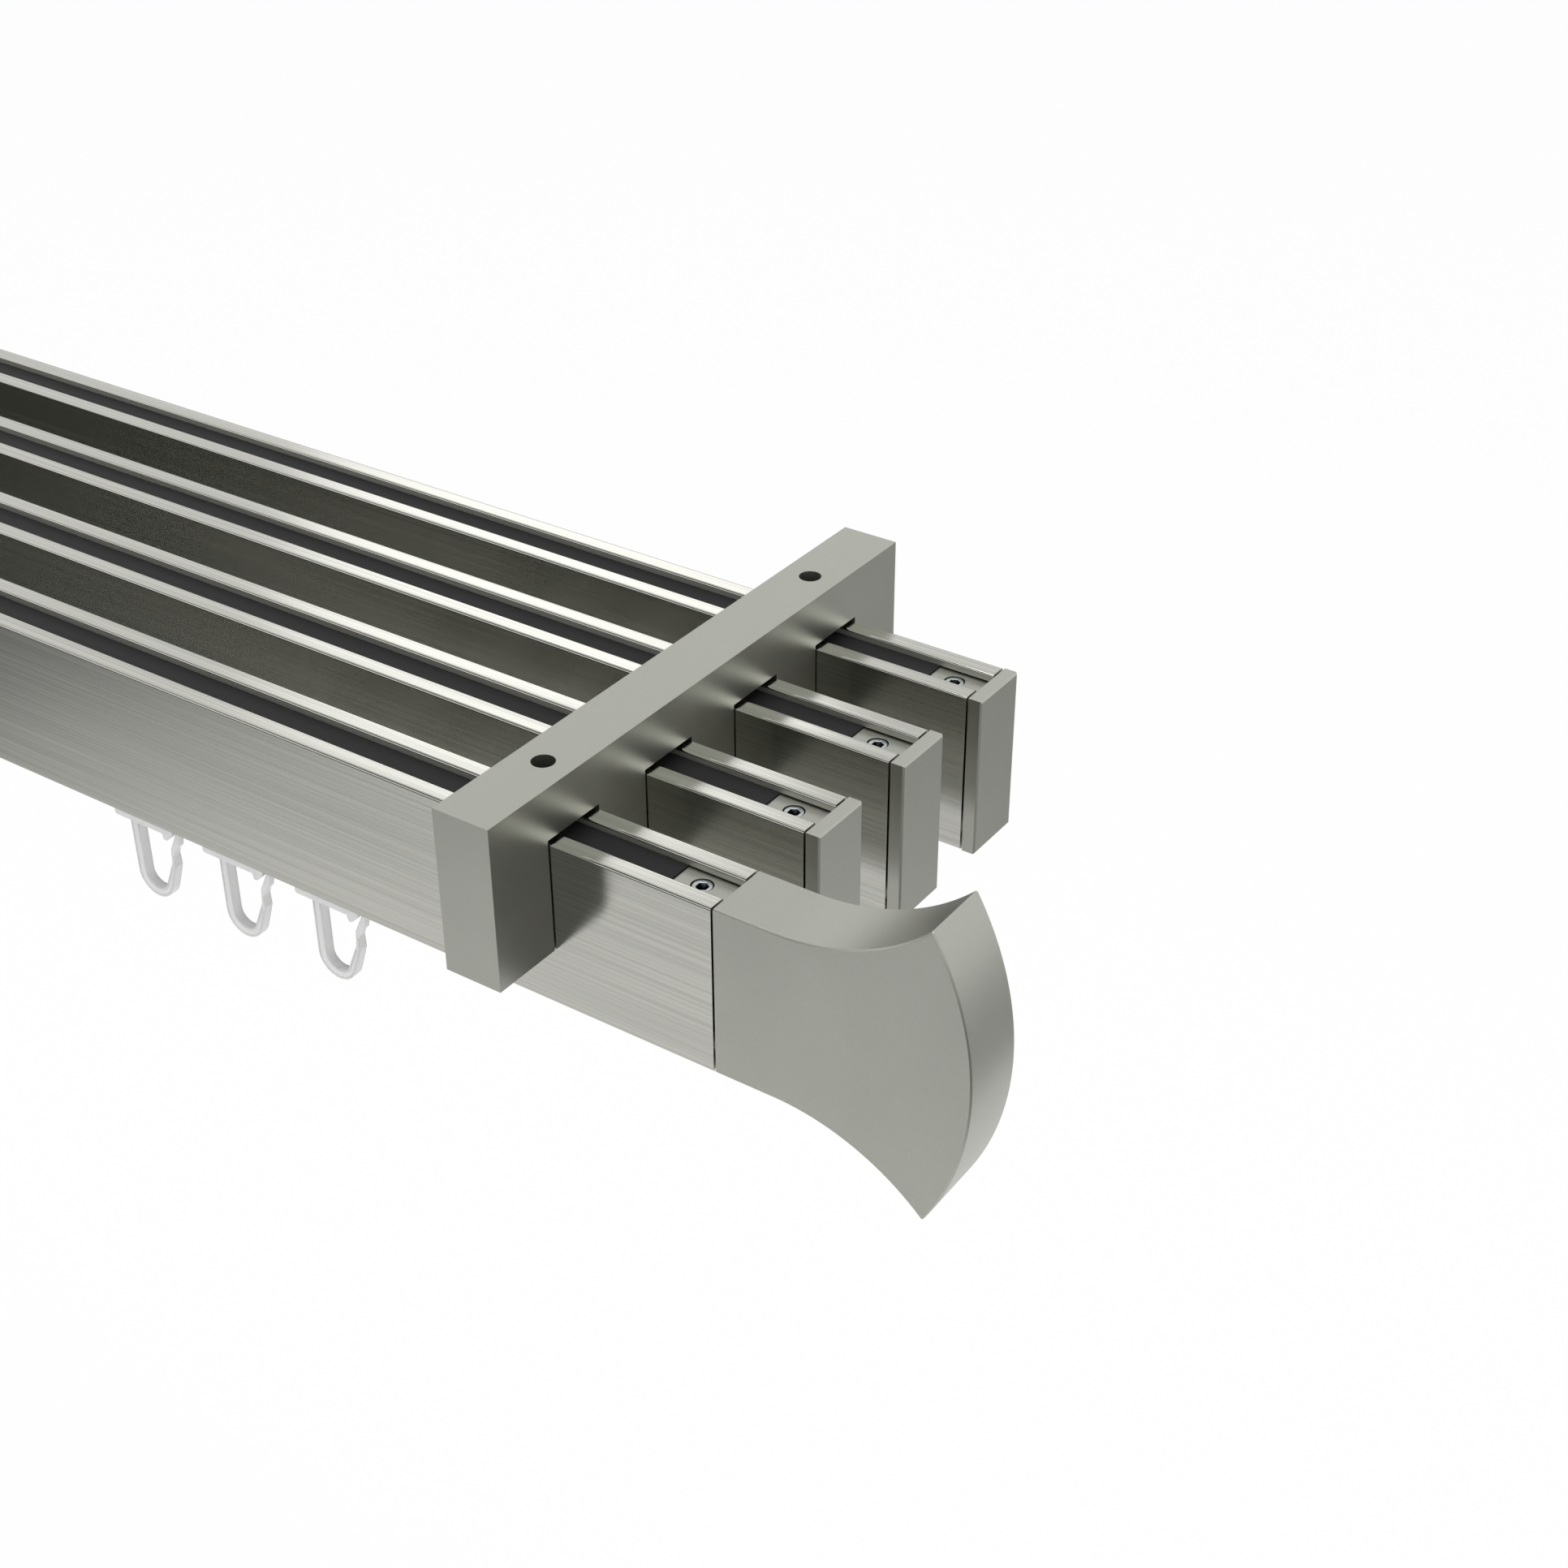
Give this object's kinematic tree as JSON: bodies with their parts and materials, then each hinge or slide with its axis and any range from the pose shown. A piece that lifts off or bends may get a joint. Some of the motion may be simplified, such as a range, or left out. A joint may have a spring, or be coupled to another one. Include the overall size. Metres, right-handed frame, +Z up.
{
  "type": "curtain rod",
  "caption": "Ceiling curtain rod of parallel rectangular inner-run rails in comb brackets, with a flared finial, flat end caps and hook gliders.",
  "frame": {"origin": "centre of the rectangle of the four ceiling screw holes, on the ceiling faces of the two brackets", "axes": "+X along the rails, towards the right end; +Y from the front rail with the finials to the rear rail; +Z up, out of the ceiling faces"},
  "size_m": [1.1026, 0.1286, 0.0717],
  "materials": {
    "satin_metal": "satin, finely brushed along the rails",
    "liner_plastic": "matt, extruded",
    "screw_steel": "turned",
    "glider_plastic": "translucent white, moulded"
  },
  "bodies": {
    "rod": {"rail_1": "satin_metal", "liner_1": "liner_plastic", "rail_2": "satin_metal", "liner_2": "liner_plastic", "rail_3": "satin_metal", "liner_3": "liner_plastic", "rail_4": "satin_metal", "liner_4": "liner_plastic", "bracket_right": "satin_metal", "bracket_left": "satin_metal", "finial_right": "satin_metal", "finial_left": "satin_metal", "end_cap_right_2": "satin_metal", "end_cap_right_3": "satin_metal", "end_cap_right_4": "satin_metal", "end_cap_left_2": "satin_metal", "end_cap_left_3": "satin_metal", "end_cap_left_4": "satin_metal", "tongue_screw_right_1": "screw_steel", "tongue_screw_right_2": "screw_steel", "tongue_screw_right_3": "screw_steel", "tongue_screw_right_4": "screw_steel", "tongue_screw_left_1": "screw_steel", "tongue_screw_left_2": "screw_steel", "tongue_screw_left_3": "screw_steel", "tongue_screw_left_4": "screw_steel", "clamp_screw_right_1": "screw_steel", "clamp_screw_right_2": "screw_steel", "clamp_screw_right_3": "screw_steel", "clamp_screw_right_4": "screw_steel", "clamp_screw_left_1": "screw_steel", "clamp_screw_left_2": "screw_steel", "clamp_screw_left_3": "screw_steel", "clamp_screw_left_4": "screw_steel"},
    "glider_1_1_body": {"glider_1_1": "glider_plastic"},
    "glider_1_2_body": {"glider_1_2": "glider_plastic"},
    "glider_1_3_body": {"glider_1_3": "glider_plastic"},
    "glider_2_1_body": {"glider_2_1": "glider_plastic"},
    "glider_2_2_body": {"glider_2_2": "glider_plastic"},
    "glider_2_3_body": {"glider_2_3": "glider_plastic"},
    "glider_3_1_body": {"glider_3_1": "glider_plastic"},
    "glider_3_2_body": {"glider_3_2": "glider_plastic"},
    "glider_3_3_body": {"glider_3_3": "glider_plastic"},
    "glider_4_1_body": {"glider_4_1": "glider_plastic"},
    "glider_4_2_body": {"glider_4_2": "glider_plastic"},
    "glider_4_3_body": {"glider_4_3": "glider_plastic"}
  },
  "joints": [
    {"name": "glider_1_1_slide", "type": "slide", "parent": "rod", "child": "glider_1_1_body", "axis": [1, 0, 0], "range_m": [-0.0035, 0.0925]},
    {"name": "glider_1_2_slide", "type": "slide", "parent": "rod", "child": "glider_1_2_body", "axis": [1, 0, 0], "range_m": [-0.0035, 0.0035]},
    {"name": "glider_1_3_slide", "type": "slide", "parent": "rod", "child": "glider_1_3_body", "axis": [1, 0, 0], "range_m": [-0.8443, 0.0035]},
    {"name": "glider_2_1_slide", "type": "slide", "parent": "rod", "child": "glider_2_1_body", "axis": [1, 0, 0], "range_m": [-0.0035, 0.0925]},
    {"name": "glider_2_2_slide", "type": "slide", "parent": "rod", "child": "glider_2_2_body", "axis": [1, 0, 0], "range_m": [-0.0035, 0.0035]},
    {"name": "glider_2_3_slide", "type": "slide", "parent": "rod", "child": "glider_2_3_body", "axis": [1, 0, 0], "range_m": [-0.8443, 0.0035]},
    {"name": "glider_3_1_slide", "type": "slide", "parent": "rod", "child": "glider_3_1_body", "axis": [1, 0, 0], "range_m": [-0.0035, 0.0925]},
    {"name": "glider_3_2_slide", "type": "slide", "parent": "rod", "child": "glider_3_2_body", "axis": [1, 0, 0], "range_m": [-0.0035, 0.0035]},
    {"name": "glider_3_3_slide", "type": "slide", "parent": "rod", "child": "glider_3_3_body", "axis": [1, 0, 0], "range_m": [-0.8443, 0.0035]},
    {"name": "glider_4_1_slide", "type": "slide", "parent": "rod", "child": "glider_4_1_body", "axis": [1, 0, 0], "range_m": [-0.0035, 0.0925]},
    {"name": "glider_4_2_slide", "type": "slide", "parent": "rod", "child": "glider_4_2_body", "axis": [1, 0, 0], "range_m": [-0.0035, 0.0035]},
    {"name": "glider_4_3_slide", "type": "slide", "parent": "rod", "child": "glider_4_3_body", "axis": [1, 0, 0], "range_m": [-0.8443, 0.0035]}
  ]
}
